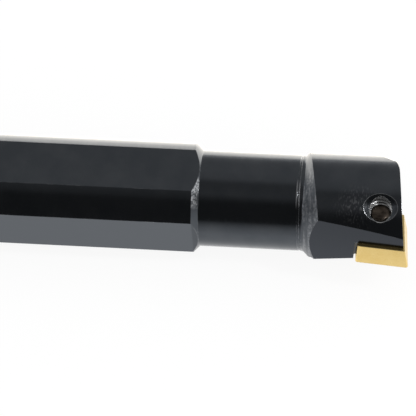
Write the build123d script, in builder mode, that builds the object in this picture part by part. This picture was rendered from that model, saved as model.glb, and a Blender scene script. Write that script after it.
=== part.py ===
from build123d import *
from math import cos, radians, sin, sqrt, tan
import os

# Boring bar with a screwed-on rhombic insert, in millimetres.
# +X runs along the bar to the cutting tip, and the origin is the centre of the shank's rear face.
# The bar lies on its top flat, so the rake side looks down (-Z) and the cutting side looks to -Y.

# Shank: a round bar with three flats for the holder's screws
overall_length = 200.0
shank_dia = 20.0
flat_reach = 8.95             # axis to the upper and to the lower flat
side_flat_reach = 8.85        # axis to the flat on the cutting side
rear_chamfer = 1.0

# Neck: turned down behind the head, with a chamfer at the shank and a cone at the head
head_reach = 39.75            # cutting tip back to the end of the shank's full diameter
neck_dia = 17.6
cone_reach = 19.67            # cutting tip back to the start of the cone
cone_angle = 45.0             # cone's wall against the axis
cone_foot_radius = 0.8
groove_width = 0.35           # fine tool mark where the neck meets the cone
groove_depth = 0.08

# Head: turned about a centre that is shifted to the cutting side
head_dia = 21.6
head_shift = 1.8
end_setback = 0.63            # cutting tip back to the end face, at the cutting side
end_angle = 6.3               # end face against a square cut
corner_round = 1.0            # rounding of the end's back corner
corner_angle = 33.0           # where round the head that corner is deepest, up from the back
corner_fade = 8.0             # how fast the rounding fades out along the edge
corner_lead = 0.2             # slight taper that leads into the rounding
corner_lead_length = 2.6
facet_lean = 12.5             # side facet against the vertical
insert_overhang = 0.7         # insert's lower edge stands this far out over the facet

# Insert: 80 degree rhombus with one screw hole
cutting_offset = 13.0         # axis to the cutting tip, to the side
inscribed_dia = 9.525
insert_thickness = 3.97
point_angle = 80.0
edge_angle = 5.0              # side cutting edge against the bar's axis
relief_angle = 7.0
nose_radius = 0.4
seat_nose_radius = 0.15       # the corner narrows to this at the seat
rake_tilt = 7.0               # rake face against the bar's mid plane
land_width = 0.25             # flat land along the cutting edges
breaker_width = 1.15          # chip groove inside the land
breaker_depth = 0.22
insert_hole_dia = 4.4
insert_sink_dia = 6.0
sink_angle = 60.0             # included angle of the screw's seat

# Insert seat: floor and two walls, with clearance at the corners
wall_relief = 0.4             # walls stand back from the insert near the open sides
wall_contact = 0.9            # share of each wall that touches the insert
corner_bore_dia = 2.2

# Chip gullet: the rake side of the head is milled away down to the insert
gullet_drop = 0.3             # floor under the rake face
gullet_flat = 8.6             # cutting tip back to the start of the ramp
gullet_ramp = 11.0
gullet_length = 17.8          # cutting tip back to the foot of the rear wall
gullet_wall_lean = 20.0
gullet_fillet = 1.2

# Clamping screw and its tapped hole, drawn smooth at the thread's outer diameter
thread_dia = 4.0
thread_clearance = 0.05
seat_clearance = 0.02         # between the screw's cone and the insert
screw_head_dia = 5.5
screw_end_depth = 1.0         # hole's mouth in to the screw's end
screw_end_chamfer = 0.45
socket_lobe_circle = 2.35     # six-lobe socket: circle through the lobes' centres
socket_lobe_dia = 0.95
socket_depth = 1.5
mouth_dia = 6.2               # countersink round the hole's mouth
mouth_angle = 120.0

shank_radius = shank_dia / 2
neck_radius = neck_dia / 2
head_radius = head_dia / 2
thread_radius = thread_dia / 2
hole_radius = thread_radius + thread_clearance
shank_front = overall_length - head_reach
front_chamfer = shank_radius - neck_radius
cone_start = overall_length - cone_reach
margin = 5.0                  # how far cuts run out into the air
mouth_run_out = 1.0           # how far the countersink runs out

# Rake plane: local x along the bar, local y out to the cutting side, local z out of the rake face
tilt = radians(rake_tilt)
rake_normal = (0, -sin(tilt), -cos(tilt))
tip = (overall_length, -cutting_offset, 0)
rake_plane = Plane(origin=tip, x_dir=(1, 0, 0), z_dir=rake_normal)

# The nose rounds off a sharp corner that lies a little beyond the tip
half_point = radians(point_angle / 2)
bisector = radians(180 + edge_angle + point_angle / 2)
nose_centre_reach = nose_radius / sin(half_point)
sharp_corner = Vector(
    -nose_radius - nose_centre_reach * cos(bisector),
    -nose_radius - nose_centre_reach * sin(bisector),
)


# Corners round the insert's centre for an inscribed circle: tip, rear, far and inner
def rhombus(inscribed):
    side = inscribed / sin(radians(point_angle))
    along = Vector(side, 0).rotate(Axis.Z, 180 + edge_angle)
    across = Vector(side, 0).rotate(Axis.Z, 180 + edge_angle + point_angle)
    corner = (along + across) * -0.5
    return [corner, corner + along, corner + along + across, corner + across]


centre = sharp_corner - rhombus(inscribed_dia)[0]
insert_plane = Plane(
    origin=rake_plane.from_local_coords(centre), x_dir=(1, 0, 0), z_dir=rake_normal
)
seat_plane = insert_plane.offset(-insert_thickness)
seat_inscribed = inscribed_dia - 2 * insert_thickness * tan(radians(relief_angle))
seat_tip, seat_rear, seat_far, seat_inner = rhombus(seat_inscribed)
along_rear_wall = (seat_rear - seat_far).normalized()
along_inner_wall = (seat_inner - seat_far).normalized()
wall_length = (seat_rear - seat_far).length

# The screw's axis leaves the head's round on the underside, at this depth and with this surface normal
start_y = insert_plane.origin.Y + head_shift
start_z = insert_plane.origin.Z
toward_y, toward_z = sin(tilt), cos(tilt)
half_b = start_y * toward_y + start_z * toward_z
exit_depth = -half_b + sqrt(half_b**2 - start_y**2 - start_z**2 + head_radius**2)
mouth = insert_plane.offset(-exit_depth).origin
mouth_normal = Vector(0, mouth.Y + head_shift, mouth.Z).normalized()
mouth_plane = Plane(origin=mouth, x_dir=(1, 0, 0), z_dir=mouth_normal)

# Side facet: parallel to the side cutting edge and leaning in to the underside
edge_turn = radians(180 + edge_angle)
edge_direction = rake_plane.x_dir * cos(edge_turn) + rake_plane.y_dir * sin(edge_turn)
facet_rise = Vector(0, -sin(radians(facet_lean)), -cos(radians(facet_lean)))
facet_plane = Plane(
    origin=seat_plane.from_local_coords(seat_tip - Vector(0, insert_overhang)),
    x_dir=edge_direction,
    z_dir=edge_direction.cross(facet_rise),
)

# End face: leans back from the cutting side to the back of the head
end_normal = Vector(cos(radians(end_angle)), sin(radians(end_angle)), 0)
end_plane = Plane(
    origin=(overall_length - end_setback, -cutting_offset, 0), x_dir=(0, 0, 1), z_dir=end_normal
)


with BuildPart() as bar:
    # Turned about the bar's own axis: shank, neck and the cone that opens to the head
    cone_rise = head_radius + head_shift + margin - neck_radius
    cone_end = cone_start + cone_rise / tan(radians(cone_angle))
    with BuildSketch(Plane.XZ):
        with BuildLine():
            Polyline(
                (0, 0),
                (0, shank_radius - rear_chamfer),
                (rear_chamfer, shank_radius),
                (shank_front, shank_radius),
                (shank_front + front_chamfer, neck_radius),
                (cone_start, neck_radius),
                (cone_end, neck_radius + cone_rise),
                (overall_length + margin, neck_radius + cone_rise),
                (overall_length + margin, 0),
                close=True,
            )
        make_face()
        foot = vertices().sort_by_distance((cone_start, neck_radius))[0]
        fillet(foot, cone_foot_radius)
    revolve(axis=Axis.X)

    # Fine mark that the turning tool left at the foot of the cone
    groove_at = cone_start - cone_foot_radius * tan(radians(cone_angle / 2)) - groove_width
    with BuildSketch(Plane.XZ):
        with Locations((groove_at, neck_radius)):
            Rectangle(groove_width, 2 * groove_depth)
    revolve(axis=Axis.X, mode=Mode.SUBTRACT)

    # Head turned again about its shifted centre
    with BuildSketch(Plane.YZ.offset(cone_start)):
        Circle(head_radius + 2 * margin)
        with Locations((-head_shift, 0)):
            Circle(head_radius, mode=Mode.SUBTRACT)
    extrude(amount=cone_reach + 2 * margin, mode=Mode.SUBTRACT)

    # Three flats along the whole shank
    flat_length = shank_front + front_chamfer
    with BuildSketch(Plane.YZ):
        with Locations((0, flat_reach + margin / 2), (0, -flat_reach - margin / 2)):
            Rectangle(shank_dia, margin)
        with Locations((-side_flat_reach - margin / 2, 0)):
            Rectangle(margin, shank_dia)
    extrude(amount=flat_length, mode=Mode.SUBTRACT)

    # Side facet beside and behind the insert
    facet_length = cone_reach + margin
    with BuildSketch(facet_plane):
        with Locations((facet_length / 2 - margin, 0)):
            Rectangle(facet_length, 2 * head_dia)
    extrude(amount=2 * margin, mode=Mode.SUBTRACT)

    # End face, then the rounding of its back corner about a centre shifted away from that corner
    with BuildSketch(end_plane):
        Rectangle(4 * head_dia, 4 * head_dia)
    extrude(amount=3 * margin, mode=Mode.SUBTRACT)

    corner_direction = Vector(0, cos(radians(corner_angle)), sin(radians(corner_angle)))
    fade_centre = Vector(overall_length, -head_shift, 0) - corner_direction * corner_fade
    fade_reach = head_radius + corner_fade
    fade_origin = fade_centre - end_normal * (fade_centre - end_plane.origin).dot(end_normal)
    corner_plane = Plane(
        origin=fade_origin,
        x_dir=corner_direction - end_normal * corner_direction.dot(end_normal),
        z_dir=corner_direction.cross(end_normal),
    )
    round_start = fade_reach - corner_lead
    round_end = round_start - corner_round
    # The lead leaves the head's round at its named length, and its line runs on as far again outside
    lead_end = fade_reach + corner_lead_length * tan(radians(end_angle)) * cos(radians(corner_angle))
    lead_run_out = 2 * lead_end - round_start
    with BuildSketch(corner_plane):
        with BuildLine():
            Polyline(
                (round_end, 0),
                (round_end, margin),
                (lead_run_out, margin),
                (lead_run_out, corner_round - 2 * corner_lead_length),
                (round_start, -corner_round),
            )
            RadiusArc((round_start, -corner_round), (round_end, 0), -corner_round)
        make_face()
    revolve(axis=Axis(fade_origin, end_normal), mode=Mode.SUBTRACT)

    # Chip gullet: flat beside the insert, then a ramp up to a leaning rear wall
    ramp_rise = (gullet_length - gullet_flat) * tan(radians(gullet_ramp))
    wall_height = 2 * head_radius
    gullet_plane = Plane(origin=tip, x_dir=(1, 0, 0), z_dir=(0, cos(tilt), -sin(tilt)))
    with BuildSketch(gullet_plane):
        with BuildLine():
            Polyline(
                (margin, -gullet_drop),
                (-gullet_flat, -gullet_drop),
                (-gullet_length, ramp_rise - gullet_drop),
                (-gullet_length - wall_height * tan(radians(gullet_wall_lean)), wall_height),
                (margin, wall_height),
                close=True,
            )
        make_face()
        wall_foot = vertices().sort_by_distance((-gullet_length, ramp_rise - gullet_drop))[0]
        fillet(wall_foot, gullet_fillet)
    extrude(amount=3 * head_radius, both=True, mode=Mode.SUBTRACT)

    # Insert seat: the walls lean with the insert's flanks and stand back near the open sides
    reach = 2 * wall_length
    contact = wall_contact * wall_length
    for corner in (
        seat_far,
        seat_far + along_rear_wall * contact - along_inner_wall * wall_relief,
        seat_far + along_inner_wall * contact - along_rear_wall * wall_relief,
    ):
        with BuildSketch(seat_plane):
            with BuildLine():
                Polyline(
                    corner,
                    corner + along_rear_wall * reach,
                    corner + (along_rear_wall + along_inner_wall) * reach,
                    corner + along_inner_wall * reach,
                    close=True,
                )
            make_face()
        extrude(amount=insert_thickness + margin, taper=-relief_angle, mode=Mode.SUBTRACT)
    with BuildSketch(seat_plane):
        with Locations(seat_far):
            Circle(corner_bore_dia / 2)
    extrude(amount=insert_thickness + margin, mode=Mode.SUBTRACT)

    # Tapped hole right through the head, countersunk where it leaves the round
    with BuildSketch(seat_plane):
        Circle(hole_radius)
    extrude(amount=-(exit_depth + margin), mode=Mode.SUBTRACT)
    sink_slope = tan(radians(mouth_angle / 2))
    sink_height = mouth_dia / 2 / sink_slope + mouth_run_out
    with Locations(mouth_plane.offset(mouth_run_out)):
        Cone(
            0,
            sink_height * sink_slope,
            sink_height,
            align=(Align.CENTER, Align.CENTER, Align.MAX),
            mode=Mode.SUBTRACT,
        )
bar.part.label = "bar"


with BuildPart() as insert:
    for plane, inscribed, radius in (
        (seat_plane, seat_inscribed, seat_nose_radius),
        (insert_plane, inscribed_dia, nose_radius),
    ):
        with BuildSketch(plane):
            with BuildLine():
                Polyline(*rhombus(inscribed), close=True)
            make_face()
            fillet(vertices(), radius)
    loft(ruled=True)

    # Chip groove between the land along the edges and the island round the screw
    groove_outer = inscribed_dia - 2 * land_width
    groove_inner = groove_outer - 2 * breaker_width
    with BuildSketch(insert_plane):
        with BuildLine():
            Polyline(*rhombus(groove_outer), close=True)
        make_face()
        fillet(vertices(), nose_radius - land_width)
        with BuildLine():
            Polyline(*rhombus(groove_inner), close=True)
        make_face(mode=Mode.SUBTRACT)
    extrude(amount=-breaker_depth, mode=Mode.SUBTRACT)

    with Locations(insert_plane):
        CounterSinkHole(insert_hole_dia / 2, insert_sink_dia / 2, counter_sink_angle=sink_angle)
insert.part.label = "insert"


with BuildPart() as clamp_screw:
    # Its cone runs parallel to the insert's seat, at the named clearance
    half_sink = radians(sink_angle / 2)
    head_drop = (insert_sink_dia - screw_head_dia) / 2 / tan(half_sink) - seat_clearance / sin(half_sink)
    screw_head_radius = screw_head_dia / 2
    neck_depth = head_drop + (screw_head_radius - thread_radius) / tan(half_sink)
    end_depth = exit_depth - screw_end_depth
    screw_section = Plane(origin=insert_plane.origin, x_dir=(1, 0, 0), z_dir=gullet_plane.z_dir)
    with BuildSketch(screw_section):
        with BuildLine():
            Polyline(
                (0, -head_drop),
                (screw_head_radius, -head_drop),
                (thread_radius, -neck_depth),
                (thread_radius, -end_depth + screw_end_chamfer),
                (thread_radius - screw_end_chamfer, -end_depth),
                (0, -end_depth),
                close=True,
            )
        make_face()
    revolve(axis=Axis(insert_plane.origin, insert_plane.z_dir))

    # Six-lobe socket
    with BuildSketch(insert_plane.offset(-head_drop)):
        Circle(socket_lobe_circle / 2)
        with PolarLocations(socket_lobe_circle / 2, 6):
            Circle(socket_lobe_dia / 2)
    extrude(amount=-socket_depth, mode=Mode.SUBTRACT)
clamp_screw.part.label = "clamp_screw"


os.makedirs("parts", exist_ok=True)
export_step(bar.part, "parts/bar.step")
export_step(insert.part, "parts/insert.step")
export_step(clamp_screw.part, "parts/clamp_screw.step")
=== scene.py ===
import bpy
import math
from mathutils import Matrix, Vector


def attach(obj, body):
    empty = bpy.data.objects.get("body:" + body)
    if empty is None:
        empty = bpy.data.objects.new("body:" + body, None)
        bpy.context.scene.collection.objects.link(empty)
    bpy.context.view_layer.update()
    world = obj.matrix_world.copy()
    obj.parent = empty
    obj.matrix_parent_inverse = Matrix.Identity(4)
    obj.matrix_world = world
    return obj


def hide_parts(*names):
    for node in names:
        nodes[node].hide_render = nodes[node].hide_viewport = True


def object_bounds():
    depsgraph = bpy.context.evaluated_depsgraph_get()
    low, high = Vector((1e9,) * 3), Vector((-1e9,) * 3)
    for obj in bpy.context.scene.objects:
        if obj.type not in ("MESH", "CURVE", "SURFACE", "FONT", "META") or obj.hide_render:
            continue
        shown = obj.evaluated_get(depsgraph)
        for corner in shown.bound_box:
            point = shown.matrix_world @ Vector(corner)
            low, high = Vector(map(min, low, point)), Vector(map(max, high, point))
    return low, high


# Boring bar with a screwed-on gold-coated insert, lying on a pale studio floor.
# Metres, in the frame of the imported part: +X to the cutting tip, -Y the cutting side, +Z up.

mm = 0.001
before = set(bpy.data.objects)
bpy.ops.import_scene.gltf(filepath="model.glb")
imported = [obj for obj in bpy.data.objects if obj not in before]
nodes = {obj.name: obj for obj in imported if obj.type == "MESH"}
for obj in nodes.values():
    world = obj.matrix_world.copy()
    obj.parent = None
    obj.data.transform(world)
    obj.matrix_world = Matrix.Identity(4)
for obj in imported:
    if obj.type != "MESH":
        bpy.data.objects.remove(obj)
cadLow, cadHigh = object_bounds()
holeMouth = Vector((194.801, -6.57235, 9.68838)) * mm  # where the tapped hole's axis leaves the head's round
print("loaded", sorted(nodes))


def selectNothing():
    for thing in bpy.context.selected_objects:
        thing.select_set(False)


def linearColour(hexText):  # sRGB hex to linear, with full alpha
    parts = [int(hexText[i:i + 2], 16) / 255 for i in (1, 3, 5)]
    return [p / 12.92 if p <= 0.04045 else ((p + 0.055) / 1.055) ** 2.4 for p in parts] + [1.0]


def grey(level):
    return [level, level, level, 1.0]


def inMetres(lengths):
    return [length * mm for length in lengths]


def span(pair, side="From"):  # inputs of a Map Range for one of its two ranges
    return {side + " Min": pair[0], side + " Max": pair[1]}


def newMaterial(name):
    material = bpy.data.materials.new(name)
    material.use_nodes = True
    material.node_tree.nodes.clear()
    return material


# One node, its settings and what feeds it: a value, a socket, or a node for its first output
def addNode(tree, kind, inputs=None, stops=(), **settings):
    node = tree.nodes.new("ShaderNode" + kind)
    for name, value in settings.items():
        setattr(node, name, value)
    for key, value in (inputs or {}).items():
        if isinstance(value, bpy.types.Node):
            value = value.outputs[0]
        if isinstance(value, bpy.types.NodeSocket):
            tree.links.new(value, node.inputs[key])
        else:
            node.inputs[key].default_value = value
    for place, colour in stops[1:]:
        node.color_ramp.elements.new(place).color = colour
    if stops:  # a new ramp has two stops: the first becomes ours and the last goes
        node.color_ramp.elements[0].position, node.color_ramp.elements[0].color = stops[0]
        node.color_ramp.elements.remove(node.color_ramp.elements[len(node.color_ramp.elements) - 1])
    return node


def dress(piece, material):
    if not piece.material_slots:
        piece.data.materials.append(material)
    for slot in piece.material_slots:
        slot.material = material


selectNothing()

# Camera: high on the cutting side, a long lens, slightly rolled
viewSetting = {
    "aim": Vector((162.453, 0, 0)) * mm,
    "drop": 1.818 * mm,                 # how far the camera's line passes below the aim
    "distance": 1.0,
    "tilt": 33.0,                       # degrees from straight above towards the cutting side
    "side": 5.0,                        # degrees towards the tip
    "roll": 2.77,                       # degrees, anticlockwise as seen from behind the camera
    "angle": 4.364,                     # degrees that the lens takes in
    "clip": (0.05, 20.0),
}


def placeCamera(setting):
    tilt, side, roll = (math.radians(setting[key]) for key in ("tilt", "side", "roll"))
    back = Vector((math.sin(side), -math.cos(side) * math.sin(tilt), math.cos(side) * math.cos(tilt)))
    along = (Vector((1, 0, 0)) - back * back.x).normalized()
    across = back.cross(along)
    right = along * math.cos(roll) + across * math.sin(roll)
    up = across * math.cos(roll) - along * math.sin(roll)
    camera = bpy.data.objects.new("photoCamera", bpy.data.cameras.new("photoCamera"))
    bpy.context.scene.collection.objects.link(camera)
    place = setting["aim"] - up * setting["drop"] + back * setting["distance"]
    turn = Matrix((right, up, back)).transposed().to_4x4()
    camera.matrix_world = Matrix.Translation(place) @ turn
    camera.data.angle = math.radians(setting["angle"])
    camera.data.clip_start, camera.data.clip_end = setting["clip"]
    bpy.context.scene.camera = camera


placeCamera(viewSetting)
print("camera placed")

# Black oxide on turned and ground steel: a thin dark conversion layer, so the metal's gloss stays
# but little light comes back; bare steel shows where edges have rubbed, and the same colour paints
# highlights.
# A pair that marks off a place gives a value just outside it and one just inside it.
steelFinish = {
    "colour": "#4c5055",
    "paleColour": "#5a5d61",
    "mottleSize": 5.0,                  # mm
    "mottleRange": (0.35, 0.7),
    "mottleShare": 0.6,
    "roughness": 0.17,
    "roughnessSpread": (-0.03, 0.05),   # from the smooth places to the deep marks
    "edgeRadius": 0.16,                 # mm, broken edges
    "speckSize": 0.55,                  # mm

    # marks from turning and grinding
    "markPitch": 0.45,                  # mm; the tool's feed is nearer 0.1, drawn coarser so that it shows
    "markLength": 7.0,                  # mm that a mark runs round the bar
    "markRange": (0.3, 0.7),
    "markRelief": 0.12,
    "speckRelief": 0.08,
    "reliefDepth": 0.01,                # mm

    # ground side flat of the shank, a little lighter
    "groundColour": "#5b5f64",
    "flatFacing": (-0.985, -0.995),     # Y of the normal
    "shankEnd": (160.45, 160.25),       # mm along the bar

    # milled side facet of the head, a little darker
    "facetColour": "#474a4f",
    "facetFacing": (-0.95, -0.96),      # Y of the normal
    "headStart": (181.5, 181.7),        # mm along the bar

    # cone to the head: rough, with a painted sheen, a paler colour on its cutting side broken up by its
    # turning marks and specks
    "coneSheenColour": "#8a8c90",
    "coneRoughness": 0.32,
    "coneFacing": (-0.5, -0.62),        # X of the normal
    "coneSide": (0.2, -0.15),           # Y of the normal
    "streakRange": (0.4, 0.62),
    "streakFloor": 0.05,
    "pitRange": (0.4, 0.6),
    "pitFloor": 0.15,

    # bare steel where edges are worn, the same colour painting highlights too; by how far a broken edge turns
    # the normal: cosines of the turn
    "wearAndHighlightColour": "#c0c2c5",
    "edgeTurn": (0.97, 0.88),
    "rubRange": (0.35, 0.6),
    "rubShare": (0.1, 0.45),
    "rimTurn": (0.998, 0.975),          # countersink rim: a painted highlight on its edge
    "mouthReach": (4.1, 3.9),           # mm from the hole's mouth
    "scuffTurn": (0.997, 0.98),
    "scuffSize": (3.0, 0.6),            # mm along an edge and across it
    "scuffRange": (0.53, 0.62),
    "scuffShare": 0.35,

    # chatter marks on the head's round, beside the hole, painted bright as glints
    "fleckPlace": (190.6, -7.0, 9.3),   # mm
    "fleckReach": (5.0, 0.5),           # mm from there
    "fleckSize": (0.25, 0.7),           # mm along the bar and round it
    "fleckRange": (0.54, 0.68),
    "fleckShare": 0.4,
    "roundFacing": (-0.93, -0.85),      # Y of the normal, off the facet

    # two painted highlights: bright lines where the neck runs into the cone, on its cutting side
    "ringPlaces": (179.3, 179.75),      # mm along the bar
    "ringHalfWidth": 0.1,               # mm
    "ringSide": (-0.1, -0.25),          # Y of the normal
    "ringFoot": (-0.66, -0.6),          # Y of the normal
    "ringShare": 0.9,

    # chamfer at the shank's end: a painted highlight in speckled bare-steel colour, high on its cutting side
    "stepFacing": (0.5, 0.65),          # X of the normal
    "stepSide": (-0.1, -0.16),          # Y of the normal
    "stepTop": (0.48, 0.54),            # Z of the normal
    "stepRange": (0.42, 0.58),
    "stepShare": (0.1, 0.9),
}


def blackOxideSteel(finish):
    material = newMaterial("blackOxideSteel")
    tree = material.node_tree
    place = addNode(tree, "TexCoord")
    point = place.outputs["Object"]
    alongBar = addNode(tree, "SeparateXYZ", {0: point}).outputs["X"]
    facing = addNode(tree, "SeparateXYZ", {0: place.outputs["Normal"]}).outputs

    # marks round the bar, clouds and specks
    across, along = 1 / (finish["markPitch"] * mm), 1 / (finish["markLength"] * mm)
    lathe = addNode(tree, "Mapping", {"Vector": point, "Scale": (across, along, along)})
    marks = addNode(tree, "TexNoise", {"Vector": lathe, "Scale": 1.0, "Detail": 3.0, "Roughness": 0.6})
    mottle = addNode(tree, "TexNoise", {"Vector": point, "Scale": 1 / (finish["mottleSize"] * mm),
                                        "Detail": 4.0, "Roughness": 0.6})
    speck = addNode(tree, "TexNoise", {"Vector": point, "Scale": 1 / (finish["speckSize"] * mm),
                                       "Detail": 2.0, "Roughness": 0.7})

    # mottled oxide
    cloud = addNode(tree, "MapRange", {"Value": mottle, **span(finish["mottleRange"]),
                                       "To Max": finish["mottleShare"]})
    oxide = addNode(tree, "Mix", {0: cloud, 6: linearColour(finish["colour"]),
                                  7: linearColour(finish["paleColour"])}, data_type="RGBA")

    # ground side flat
    onSide = addNode(tree, "MapRange", {"Value": facing["Y"], **span(finish["flatFacing"])})
    onShank = addNode(tree, "MapRange", {"Value": alongBar, **span(inMetres(finish["shankEnd"]))})
    onFlat = addNode(tree, "Math", {0: onSide, 1: onShank}, operation="MULTIPLY")
    ground = addNode(tree, "Mix", {0: onFlat, 6: oxide.outputs[2],
                                   7: linearColour(finish["groundColour"])}, data_type="RGBA")

    # milled side facet
    sideward = addNode(tree, "MapRange", {"Value": facing["Y"], **span(finish["facetFacing"])})
    onHead = addNode(tree, "MapRange", {"Value": alongBar, **span(inMetres(finish["headStart"]))})
    onFacet = addNode(tree, "Math", {0: sideward, 1: onHead}, operation="MULTIPLY")
    milled = addNode(tree, "Mix", {0: onFacet, 6: ground.outputs[2],
                                   7: linearColour(finish["facetColour"])}, data_type="RGBA")

    # cone: painted sheen on its cutting side
    onCone = addNode(tree, "MapRange", {"Value": facing["X"], **span(finish["coneFacing"])})
    streak = addNode(tree, "MapRange", {"Value": marks, **span(finish["streakRange"]),
                                        "To Min": finish["streakFloor"]})
    pitted = addNode(tree, "MapRange", {"Value": speck, **span(finish["pitRange"]),
                                        "To Min": finish["pitFloor"]})
    uneven = addNode(tree, "Math", {0: streak, 1: pitted}, operation="MULTIPLY")
    coneSide = addNode(tree, "MapRange", {"Value": facing["Y"], **span(finish["coneSide"])})
    coneSheen = addNode(tree, "Math", {0: onCone, 1: coneSide}, operation="MULTIPLY")
    coneShare = addNode(tree, "Math", {0: coneSheen, 1: uneven}, operation="MULTIPLY")
    coned = addNode(tree, "Mix", {0: coneShare, 6: milled.outputs[2],
                                  7: linearColour(finish["coneSheenColour"])}, data_type="RGBA")

    # rubbed edges: worn bare steel that also serves as a painted edge highlight
    softEdge = addNode(tree, "Bevel", {"Radius": finish["edgeRadius"] * mm}, samples=6)
    shape = addNode(tree, "NewGeometry")
    turned = addNode(tree, "VectorMath", {0: softEdge, 1: shape.outputs["Normal"]},
                     operation="DOT_PRODUCT").outputs["Value"]
    edge = addNode(tree, "MapRange", {"Value": turned, **span(finish["edgeTurn"])})
    rub = addNode(tree, "MapRange", {"Value": speck, **span(finish["rubRange"]),
                                     **span(finish["rubShare"], "To")})
    edgeWearAndGlint = addNode(tree, "Math", {0: edge, 1: rub}, operation="MULTIPLY")

    # painted highlight on the countersink's rim
    fromMouth = addNode(tree, "VectorMath", {0: point, 1: holeMouth},
                        operation="DISTANCE").outputs["Value"]
    nearMouth = addNode(tree, "MapRange", {"Value": fromMouth, **span(inMetres(finish["mouthReach"]))})
    rim = addNode(tree, "MapRange", {"Value": turned, **span(finish["rimTurn"])})
    rimHighlight = addNode(tree, "Math", {0: rim, 1: nearMouth}, operation="MULTIPLY")

    # chatter marks, painted bright as glints
    fleckScale = [1 / (finish["fleckSize"][i] * mm) for i in (0, 1, 1)]
    chatter = addNode(tree, "Mapping", {"Vector": point, "Scale": fleckScale})
    chatterNoise = addNode(tree, "TexNoise", {"Vector": chatter, "Scale": 1.0, "Detail": 1.0})
    chatterSpots = addNode(tree, "MapRange", {"Value": chatterNoise, **span(finish["fleckRange"])})
    fromFlecks = addNode(tree, "VectorMath", {0: point, 1: inMetres(finish["fleckPlace"])},
                         operation="DISTANCE").outputs["Value"]
    beside = addNode(tree, "MapRange", {"Value": fromFlecks, **span(inMetres(finish["fleckReach"])),
                                        "To Max": finish["fleckShare"]})
    onRound = addNode(tree, "MapRange", {"Value": facing["Y"], **span(finish["roundFacing"])})
    besideRound = addNode(tree, "Math", {0: beside, 1: onRound}, operation="MULTIPLY")
    chatterGlints = addNode(tree, "Math", {0: chatterSpots, 1: besideRound}, operation="MULTIPLY")

    # painted highlight on the chamfer
    onStep = addNode(tree, "MapRange", {"Value": facing["X"], **span(finish["stepFacing"])})
    stepTop = addNode(tree, "MapRange", {"Value": facing["Z"], **span(finish["stepTop"])})
    stepSide = addNode(tree, "MapRange", {"Value": facing["Y"], **span(finish["stepSide"])})
    stepHigh = addNode(tree, "Math", {0: stepTop, 1: stepSide}, operation="MULTIPLY")
    stepSpots = addNode(tree, "MapRange", {"Value": speck, **span(finish["stepRange"]),
                                           **span(finish["stepShare"], "To")})
    stepGlint = addNode(tree, "Math", {0: stepHigh, 1: stepSpots}, operation="MULTIPLY")
    stepHighlight = addNode(tree, "Math", {0: stepGlint, 1: onStep}, operation="MULTIPLY")

    # scuffs along the edges
    scuffScale = [1 / (finish["scuffSize"][i] * mm) for i in (0, 1, 1)]
    drag = addNode(tree, "Mapping", {"Vector": point, "Scale": scuffScale})
    dragNoise = addNode(tree, "TexNoise", {"Vector": drag, "Scale": 1.0, "Detail": 3.0, "Roughness": 0.7})
    dragSpots = addNode(tree, "MapRange", {"Value": dragNoise, **span(finish["scuffRange"]),
                                           "To Max": finish["scuffShare"]})
    scuffed = addNode(tree, "MapRange", {"Value": turned, **span(finish["scuffTurn"])})
    scuffs = addNode(tree, "Math", {0: dragSpots, 1: scuffed}, operation="MULTIPLY")

    # painted highlights: bright lines at the foot of the cone
    halfWidth = finish["ringHalfWidth"] * mm
    rings = [addNode(tree, "Math", {0: alongBar, 1: ring, 2: halfWidth}, operation="COMPARE")
             for ring in inMetres(finish["ringPlaces"])]
    ringed = addNode(tree, "Math", {0: rings[0], 1: rings[1]}, operation="MAXIMUM")
    ringSide = addNode(tree, "MapRange", {"Value": facing["Y"], **span(finish["ringSide"]),
                                          "To Max": finish["ringShare"]})
    ringFoot = addNode(tree, "MapRange", {"Value": facing["Y"], **span(finish["ringFoot"])})
    arc = addNode(tree, "Math", {0: ringSide, 1: ringFoot}, operation="MULTIPLY")
    ringHighlights = addNode(tree, "Math", {0: ringed, 1: arc}, operation="MULTIPLY")

    # all the wear and painted highlights together
    wearAndHighlights = edgeWearAndGlint
    for wear in (rimHighlight, chatterGlints, stepHighlight, scuffs, ringHighlights):
        wearAndHighlights = addNode(tree, "Math", {0: wearAndHighlights, 1: wear}, operation="MAXIMUM")
    colour = addNode(tree, "Mix", {0: wearAndHighlights, 6: coned.outputs[2],
                                   7: linearColour(finish["wearAndHighlightColour"])}, data_type="RGBA")

    # gloss: satin, rougher on the cone and where the marks are deep
    spread = [finish["roughness"] + change for change in finish["roughnessSpread"]]
    satin = addNode(tree, "MapRange", {"Value": marks, **span(finish["markRange"]), **span(spread, "To")})
    gloss = addNode(tree, "Mix", {0: onCone, 2: satin, 3: finish["coneRoughness"]}, data_type="FLOAT")
    depth = finish["reliefDepth"] * mm
    relief = addNode(tree, "Bump", {"Strength": finish["markRelief"], "Distance": depth, "Height": marks,
                                    "Normal": softEdge})
    grain = addNode(tree, "Bump", {"Strength": finish["speckRelief"], "Distance": depth, "Height": speck,
                                   "Normal": relief})
    shader = addNode(tree, "BsdfPrincipled", {"Base Color": colour.outputs[2], "Metallic": 1.0,
                                              "Roughness": gloss, "Normal": grain})
    addNode(tree, "OutputMaterial", {"Surface": shader})
    return material


# Sintered carbide with a golden nitride coating: a hard, even film on a finely ground body,
# so a warm metal colour with a fine grain and slightly paler honed edges, partly a painted edge highlight.
carbideFinish = {
    "colour": "#fddf96",
    "deepColour": "#f6d68a",
    # paler honed edges, partly a painted edge highlight
    "edgeHighlightColour": "#ffeec2",
    "roughness": 0.3,
    "roughnessSpread": (-0.03, 0.03),
    "grainSize": 0.25,                  # mm; the real grain is finer, drawn coarser so that it shows
    "grainRange": (0.3, 0.7),
    "grainRelief": 0.05,
    "reliefDepth": 0.01,                # mm
    "cloudSize": 2.5,                   # mm
    "deepRange": (0.16, 0.36),          # grain times cloud, from the plain colour to the deep one
    "edgeRadius": 0.12,                 # mm, honed edges
    "edgeTurn": (0.98, 0.86),           # cosine of how far an edge turns the normal
}


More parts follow.
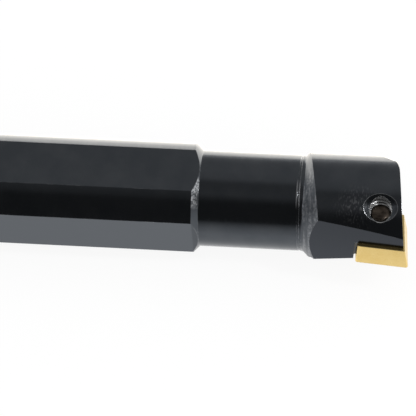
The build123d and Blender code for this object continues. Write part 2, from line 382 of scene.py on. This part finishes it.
def coatedCarbide(finish):
    material = newMaterial("coatedCarbide")
    tree = material.node_tree
    point = addNode(tree, "TexCoord").outputs["Object"]
    grain = addNode(tree, "TexNoise", {"Vector": point, "Scale": 1 / (finish["grainSize"] * mm),
                                       "Detail": 3.0, "Roughness": 0.6})
    cloud = addNode(tree, "TexNoise", {"Vector": point, "Scale": 1 / (finish["cloudSize"] * mm),
                                       "Detail": 3.0, "Roughness": 0.5})
    mixed = addNode(tree, "Math", {0: grain, 1: cloud}, operation="MULTIPLY")
    share = addNode(tree, "MapRange", {"Value": mixed, **span(finish["deepRange"])})
    film = addNode(tree, "Mix", {0: share, 6: linearColour(finish["colour"]),
                                 7: linearColour(finish["deepColour"])}, data_type="RGBA")

    # paler honed edges, partly a painted edge highlight
    softEdge = addNode(tree, "Bevel", {"Radius": finish["edgeRadius"] * mm}, samples=6)
    shape = addNode(tree, "NewGeometry")
    turned = addNode(tree, "VectorMath", {0: softEdge, 1: shape.outputs["Normal"]},
                     operation="DOT_PRODUCT").outputs["Value"]
    edge = addNode(tree, "MapRange", {"Value": turned, **span(finish["edgeTurn"])})
    colour = addNode(tree, "Mix", {0: edge, 6: film.outputs[2],
                                   7: linearColour(finish["edgeHighlightColour"])}, data_type="RGBA")

    spread = [finish["roughness"] + change for change in finish["roughnessSpread"]]
    gloss = addNode(tree, "MapRange", {"Value": grain, **span(finish["grainRange"]), **span(spread, "To")})
    relief = addNode(tree, "Bump", {"Strength": finish["grainRelief"], "Distance": finish["reliefDepth"] * mm,
                                    "Height": grain, "Normal": softEdge})
    shader = addNode(tree, "BsdfPrincipled", {"Base Color": colour.outputs[2], "Metallic": 1.0,
                                              "Roughness": gloss, "Normal": relief})
    addNode(tree, "OutputMaterial", {"Surface": shader})
    return material


# Hardened screw steel with a film of dried oil: brownish and semi-gloss, brighter on rubbed edges
screwFinish = {
    "colour": "#5c534b",
    "oilColour": "#332d28",
    "brightColour": "#c9c7c2",
    "roughness": 0.36,
    "roughnessSpread": (-0.08, 0.1),
    "oilSize": 1.2,                     # mm
    "oilRange": (0.35, 0.65),
    "glossRange": (0.3, 0.7),
    "oilRelief": 0.2,
    "reliefDepth": 0.01,                # mm
    "edgeRadius": 0.2,                  # mm
    "edgeTurn": (0.98, 0.85),           # cosine of how far an edge turns the normal
}

# Tapped thread: the same steel freshly cut, bright and clean
cutThreadFinish = dict(screwFinish, colour="#d6d7d8", oilColour="#8a8a8a", brightColour="#f0f0f0",
                       roughness=0.2)


def oiledScrewSteel(name, finish):
    material = newMaterial(name)
    tree = material.node_tree
    point = addNode(tree, "TexCoord").outputs["Object"]
    oil = addNode(tree, "TexNoise", {"Vector": point, "Scale": 1 / (finish["oilSize"] * mm),
                                     "Detail": 4.0, "Roughness": 0.6})
    share = addNode(tree, "MapRange", {"Value": oil, **span(finish["oilRange"])})
    film = addNode(tree, "Mix", {0: share, 6: linearColour(finish["colour"]),
                                 7: linearColour(finish["oilColour"])}, data_type="RGBA")

    # rubbed edges
    softEdge = addNode(tree, "Bevel", {"Radius": finish["edgeRadius"] * mm}, samples=6)
    shape = addNode(tree, "NewGeometry")
    turned = addNode(tree, "VectorMath", {0: softEdge, 1: shape.outputs["Normal"]},
                     operation="DOT_PRODUCT").outputs["Value"]
    edge = addNode(tree, "MapRange", {"Value": turned, **span(finish["edgeTurn"])})
    colour = addNode(tree, "Mix", {0: edge, 6: film.outputs[2],
                                   7: linearColour(finish["brightColour"])}, data_type="RGBA")

    spread = [finish["roughness"] + change for change in finish["roughnessSpread"]]
    gloss = addNode(tree, "MapRange", {"Value": oil, **span(finish["glossRange"]), **span(spread, "To")})
    relief = addNode(tree, "Bump", {"Strength": finish["oilRelief"], "Distance": finish["reliefDepth"] * mm,
                                    "Height": oil, "Normal": softEdge})
    shader = addNode(tree, "BsdfPrincipled", {"Base Color": colour.outputs[2], "Metallic": 1.0,
                                              "Roughness": gloss, "Normal": relief})
    addNode(tree, "OutputMaterial", {"Surface": shader})
    return material


dress(nodes["bar"], blackOxideSteel(steelFinish))
dress(nodes["insert"], coatedCarbide(carbideFinish))
screwSteel = oiledScrewSteel("oiledScrewSteel", screwFinish)
cutThreadSteel = oiledScrewSteel("cutThreadSteel", cutThreadFinish)
dress(nodes["clamp_screw"], screwSteel)
print("materials made")

# Thread of the clamping screw and of its hole, one helix for both. Heights count from the hole's mouth,
# and a pair gives a radius and the half width there.
threadSetting = {
    "lean": -7.0,                       # degrees from +Z towards +Y
    "pitch": 0.7 * mm,
    "steps": 28,                        # per turn
    "crest": (1.72 * mm, 0.06 * mm),    # ridge in the hole, at its crest
    "wall": (2.12 * mm, 0.29 * mm),     # and where it is rooted in the wall
    "ridgeTop": 1.6 * mm,               # trimmed by the countersink
    "ridgeFoot": -6.2 * mm,
    "grooveRoot": (1.6 * mm, 0.05 * mm),
    "grooveMouth": (2.12 * mm, 0.33 * mm),
    "grooveTop": -0.4 * mm,
    "grooveFoot": -6.4 * mm,
    "smoothAngle": 30.0,                # degrees, sharper edges stay sharp
    "mergeDistance": 0.0005 * mm,
}
sinkSetting = {
    "lean": 26.225,                     # degrees from +Z towards -Y, the normal of the head's round there
    "radius": 3.1 * mm,
    "angle": 120.0,
    "rise": 4.0 * mm,                   # far enough out to take off every turn above the countersink
    "sides": 64,
}


def helix(name, inner, outer, low, high, setting):  # closed helical bar with a four-cornered section
    pitch = setting["pitch"]
    turns = math.ceil((high - low) / pitch)
    start = math.floor(low / pitch) * pitch  # whole pitches from the mouth keep ridge and groove in step
    selectNothing()
    bpy.ops.mesh.primitive_plane_add(size=1, location=(0, 0, 0), rotation=(math.pi / 2, 0, 0))
    piece = bpy.context.active_object
    piece.name = name
    bpy.ops.object.transform_apply(location=True, rotation=True, scale=True)
    for corner in piece.data.vertices:
        radius, half = outer if corner.co.x > 0 else inner
        corner.co = (radius, 0, start + (half if corner.co.z > 0 else -half))
    twist = piece.modifiers.new("twist", "SCREW")
    twist.axis = "Z"
    twist.angle = 2 * math.pi
    twist.screw_offset = pitch
    twist.iterations = turns
    twist.steps = twist.render_steps = setting["steps"]
    twist.use_merge_vertices = False
    bpy.ops.object.modifier_apply(modifier=twist.name)
    bpy.ops.object.mode_set(mode="EDIT")
    bpy.ops.mesh.select_all(action="SELECT")
    bpy.ops.mesh.fill_holes(sides=4)  # both ends
    bpy.ops.mesh.normals_make_consistent(inside=False)
    bpy.ops.object.mode_set(mode="OBJECT")
    return piece


def alignWithHole(piece, lean, place):
    piece.rotation_euler = (math.radians(lean), 0, 0)
    piece.location = place
    selectNothing()
    piece.select_set(True)
    bpy.context.view_layer.objects.active = piece
    bpy.ops.object.transform_apply(location=True, rotation=True, scale=True)


def carve(piece, cutter):
    cut = piece.modifiers.new("cut", "BOOLEAN")
    cut.operation, cut.solver, cut.object = "DIFFERENCE", "EXACT", cutter
    bpy.context.view_layer.objects.active = piece
    bpy.ops.object.modifier_apply(modifier=cut.name)
    bpy.data.objects.remove(cutter)


def finishPiece(piece, material):
    selectNothing()
    piece.select_set(True)
    bpy.context.view_layer.objects.active = piece
    bpy.ops.object.shade_smooth_by_angle(angle=math.radians(threadSetting["smoothAngle"]))
    piece.data.materials.clear()
    dress(piece, material)
    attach(piece, "root")
    selectNothing()


# Ridge in the tapped hole
ridge = helix("holeThread", threadSetting["crest"], threadSetting["wall"],
              threadSetting["ridgeFoot"], threadSetting["ridgeTop"], threadSetting)
alignWithHole(ridge, threadSetting["lean"], holeMouth)
sinkDepth = sinkSetting["radius"] / math.tan(math.radians(sinkSetting["angle"] / 2))
sinkHeight = sinkDepth + sinkSetting["rise"]
bpy.ops.mesh.primitive_cone_add(vertices=sinkSetting["sides"], radius1=0, depth=sinkHeight,
                                radius2=sinkSetting["radius"] * sinkHeight / sinkDepth,
                                location=(0, 0, sinkHeight / 2 - sinkDepth))
sinkCutter = bpy.context.active_object
bpy.ops.object.transform_apply(location=True, rotation=True, scale=True)
alignWithHole(sinkCutter, sinkSetting["lean"], holeMouth)
carve(ridge, sinkCutter)
finishPiece(ridge, cutThreadSteel)

# Copy of the plain screw, with its groove cut in
screw = nodes["clamp_screw"].copy()
screw.data = nodes["clamp_screw"].data.copy()
screw.name = "threadedScrew"
bpy.context.scene.collection.objects.link(screw)
screw.select_set(True)
bpy.context.view_layer.objects.active = screw
bpy.ops.object.mode_set(mode="EDIT")
bpy.ops.mesh.select_all(action="SELECT")
bpy.ops.mesh.remove_doubles(threshold=threadSetting["mergeDistance"])
bpy.ops.object.mode_set(mode="OBJECT")
groove = helix("screwGroove", threadSetting["grooveRoot"], threadSetting["grooveMouth"],
               threadSetting["grooveFoot"], threadSetting["grooveTop"], threadSetting)
alignWithHole(groove, threadSetting["lean"], holeMouth)
carve(screw, groove)
finishPiece(screw, screwSteel)
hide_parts("clamp_screw")
print("threads cut", len(ridge.data.polygons), len(screw.data.polygons))

# Floor: matt white paper that runs out of the light on the cutting side, as a painted shade in the glow that
# mirror rays see.
# Camera rays see it as white, mirror rays see it white beside the bar, and its own shade keeps the object's
# shadow.
floorSetting = {
    "size": 6.0,
    "middle": 0.1,                      # metres along the bar
    "colour": "#fdfdfd",
    "glow": 0.9,                        # share of the white glow that camera and mirror rays see
    "fadePlace": (-0.25, 0.0),          # metres beside the bar between which the reflection changes
    # share of that way, and what a mirror ray sees there
    "fade": ((0.0, 0.15), (0.55, 0.25), (0.77, 0.5), (0.87, 0.75), (0.92, 1.0)),
}
bpy.ops.mesh.primitive_plane_add(size=floorSetting["size"], location=(floorSetting["middle"], 0, cadLow.z))
floor = bpy.context.active_object
floor.name = "paleFloor"
bpy.ops.object.transform_apply(location=True, rotation=True, scale=True)


def paleFloorPaper(setting):
    material = newMaterial("paleFloorPaper")
    tree = material.node_tree
    path = addNode(tree, "LightPath")
    point = addNode(tree, "SeparateXYZ", {0: addNode(tree, "TexCoord").outputs["Object"]})
    side = addNode(tree, "MapRange", {"Value": point.outputs["Y"], **span(setting["fadePlace"])})
    fade = addNode(tree, "ValToRGB", {0: side},
                   stops=[(where, grey(level)) for where, level in setting["fade"]])
    strength = addNode(tree, "Mix", {0: path.outputs["Is Glossy Ray"], 2: 1.0, 3: fade},
                       data_type="FLOAT")
    direct = addNode(tree, "Math", {0: path.outputs["Is Camera Ray"], 1: path.outputs["Is Glossy Ray"]},
                     operation="MAXIMUM")
    seen = addNode(tree, "Math", {0: direct, 1: path.outputs["Is Transmission Ray"]}, operation="MAXIMUM")
    share = addNode(tree, "Math", {0: seen, 1: setting["glow"]}, operation="MULTIPLY")
    paper = addNode(tree, "BsdfDiffuse", {"Color": linearColour(setting["colour"])})
    glow = addNode(tree, "Emission", {"Color": grey(1.0), "Strength": strength})
    mixed = addNode(tree, "MixShader", {0: share, 1: paper, 2: glow})
    addNode(tree, "OutputMaterial", {"Surface": mixed})
    return material


dress(floor, paleFloorPaper(floorSetting))
selectNothing()
print("floor laid")

# Soft light all round, and a tent that only polished metal sees
world = bpy.data.worlds.new("studioWorld")
world.use_nodes = True
bpy.context.scene.world = world
world.node_tree.nodes["Background"].inputs["Color"].default_value = (1, 1, 1, 1)
world.node_tree.nodes["Background"].inputs["Strength"].default_value = 1.0

tentSetting = {
    "radius": 0.8,
    "length": 3.0,
    "middle": 0.1,                      # metres along the bar
    "sides": 96,
    # share of the half circle from the cutting side's horizon over the top to the back, and radiance
    "cloth": ((0.0, 0.067), (0.27, 0.067), (0.32, 0.13), (0.37, 0.22), (0.48, 0.2), (0.53, 0.2),
              (0.59, 0.38), (0.65, 0.41), (0.86, 0.41), (0.94, 0.47), (1.0, 0.5)),
}
bpy.ops.mesh.primitive_cylinder_add(vertices=tentSetting["sides"], radius=tentSetting["radius"],
                                    depth=tentSetting["length"], end_fill_type="NOTHING",
                                    location=(tentSetting["middle"], 0, cadLow.z),
                                    rotation=(0, math.pi / 2, 0))
tent = bpy.context.active_object
tent.name = "reflectorTent"
bpy.ops.object.transform_apply(location=True, rotation=True, scale=True)
bpy.ops.object.mode_set(mode="EDIT")
bpy.ops.mesh.select_all(action="SELECT")
bpy.ops.mesh.bisect(plane_co=(0, 0, cadLow.z), plane_no=(0, 0, 1), clear_inner=True)
bpy.ops.object.mode_set(mode="OBJECT")


def tentCloth(setting):
    material = newMaterial("tentCloth")
    tree = material.node_tree
    point = addNode(tree, "SeparateXYZ", {0: addNode(tree, "TexCoord").outputs["Object"]})
    away = addNode(tree, "Math", {0: point.outputs["Y"], 1: -1.0}, operation="MULTIPLY")
    turn = addNode(tree, "Math", {0: point.outputs["Z"], 1: away}, operation="ARCTAN2")
    share = addNode(tree, "Math", {0: turn, 1: math.pi}, operation="DIVIDE")
    cloth = addNode(tree, "ValToRGB", {0: share},
                    stops=[(where, grey(level)) for where, level in setting["cloth"]])
    glow = addNode(tree, "Emission", {"Color": cloth, "Strength": 1.0})
    addNode(tree, "OutputMaterial", {"Surface": glow})
    return material


dress(tent, tentCloth(tentSetting))
tent.visible_camera = tent.visible_diffuse = tent.visible_shadow = tent.visible_transmission = False
selectNothing()

# Low light behind the bar, facing up, for the bright line along its back
backLight = {
    "size": (0.7, 0.24),
    "place": Vector((0.1, 0.137, cadLow.z + 0.5 * mm)),
    "watts": 0.98,
    "colour": "#fff7ea",
}

# Small light above and beyond the tip: flat and round faces along the bar never mirror it towards
# the camera, only the threads, the countersink and the cone do
threadLight = {
    "size": (0.08, 0.22),
    "aim": Vector((194.8, -6.6, 9.7)) * mm,
    "toward": Vector((0.62, -0.13, 0.77)).normalized(),  # from the aim to the lamp
    "distance": 0.7,
    "watts": 0.9,
    "colour": "#ffffff",
}


def hangLamp(name, setting, place, turn):
    lamp = bpy.data.objects.new(name, bpy.data.lights.new(name, "AREA"))
    lamp.data.shape = "RECTANGLE"
    lamp.data.size, lamp.data.size_y = setting["size"]
    lamp.data.energy = setting["watts"]
    lamp.data.color = linearColour(setting["colour"])[:3]
    lamp.location, lamp.rotation_euler = place, turn
    lamp.visible_camera = False
    bpy.context.scene.collection.objects.link(lamp)


hangLamp("backLight", backLight, backLight["place"], (math.pi, 0, 0))
hangLamp("threadLight", threadLight, threadLight["aim"] + threadLight["toward"] * threadLight["distance"],
         threadLight["toward"].to_track_quat("Z", "Y").to_euler())
print("lights set")

bpy.context.scene.view_settings.view_transform = "Standard"
